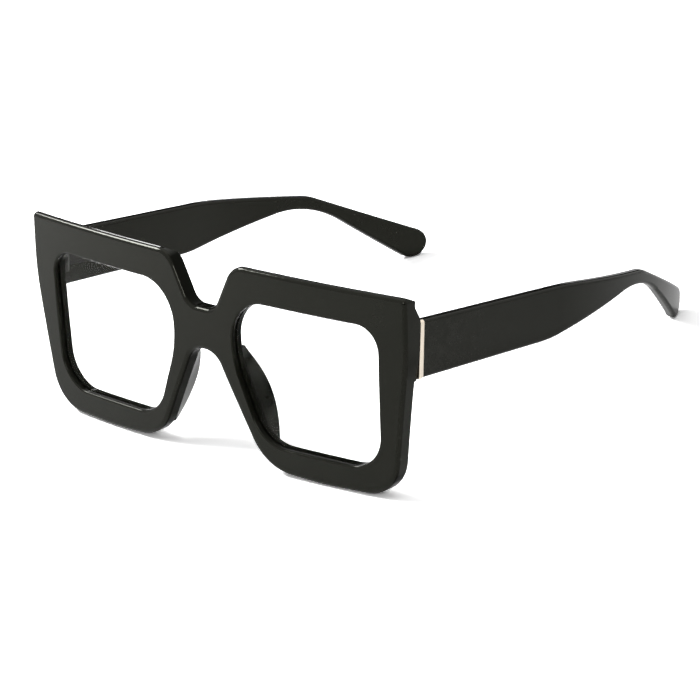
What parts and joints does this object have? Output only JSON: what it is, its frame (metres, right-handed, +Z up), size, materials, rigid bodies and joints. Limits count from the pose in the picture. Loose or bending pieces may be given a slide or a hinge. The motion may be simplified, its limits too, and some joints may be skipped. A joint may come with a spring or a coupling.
{
  "type": "oversized glasses",
  "caption": "Oversized square glasses with a thick black plastic front, V-notched bridge, clear lenses, gold-ended wide temples that taper to a bent tip, and folding hinges.",
  "frame": {"origin": "middle of the bounding box in X and Y, on the plane that the rims and temple tips rest on", "axes": "+Z up, X across with the wearer's middle plane at x = 0, the front faces -Y and the temples run back towards +Y"},
  "size_m": [0.1504, 0.1512, 0.0604],
  "materials": {
    "black_frame": "polished black, slightly warm",
    "clear_lens": "clear and untinted",
    "nose_pad": "polished dark grey",
    "gold_trim": "polished pale gold",
    "hinge_steel": "satin nickel",
    "rivet_steel": "satin nickel",
    "screw_steel": "turned steel",
    "core_wire": "drawn wire"
  },
  "bodies": {
    "front": {"front_frame": "black_frame", "lens_right": "clear_lens", "lens_left": "clear_lens", "nose_pad_right": "nose_pad", "nose_pad_left": "nose_pad", "front_hinge_leaf_right": "hinge_steel", "front_hinge_leaf_left": "hinge_steel", "front_hinge_rivets_right": "rivet_steel", "front_hinge_rivets_left": "rivet_steel", "hinge_screw_right": "screw_steel", "hinge_screw_left": "screw_steel"},
    "right_arm": {"temple_right": "black_frame", "temple_trim_right": "gold_trim", "temple_hinge_leaf_right": "hinge_steel", "temple_hinge_rivets_right": "rivet_steel", "core_wire_right": "core_wire"},
    "left_arm": {"temple_left": "black_frame", "temple_trim_left": "gold_trim", "temple_hinge_leaf_left": "hinge_steel", "temple_hinge_rivets_left": "rivet_steel", "core_wire_left": "core_wire"}
  },
  "joints": [
    {"name": "right_temple_fold", "type": "hinge", "parent": "front", "child": "right_arm", "pos_m": [0.0701, -0.06028, 0.04391], "axis": [0, 0.1894, 0.9819], "range_deg": [0, 82.5]},
    {"name": "left_temple_fold", "type": "hinge", "parent": "front", "child": "left_arm", "pos_m": [-0.0701, -0.06028, 0.04391], "axis": [0, -0.1894, -0.9819], "range_deg": [0, 56]}
  ]
}
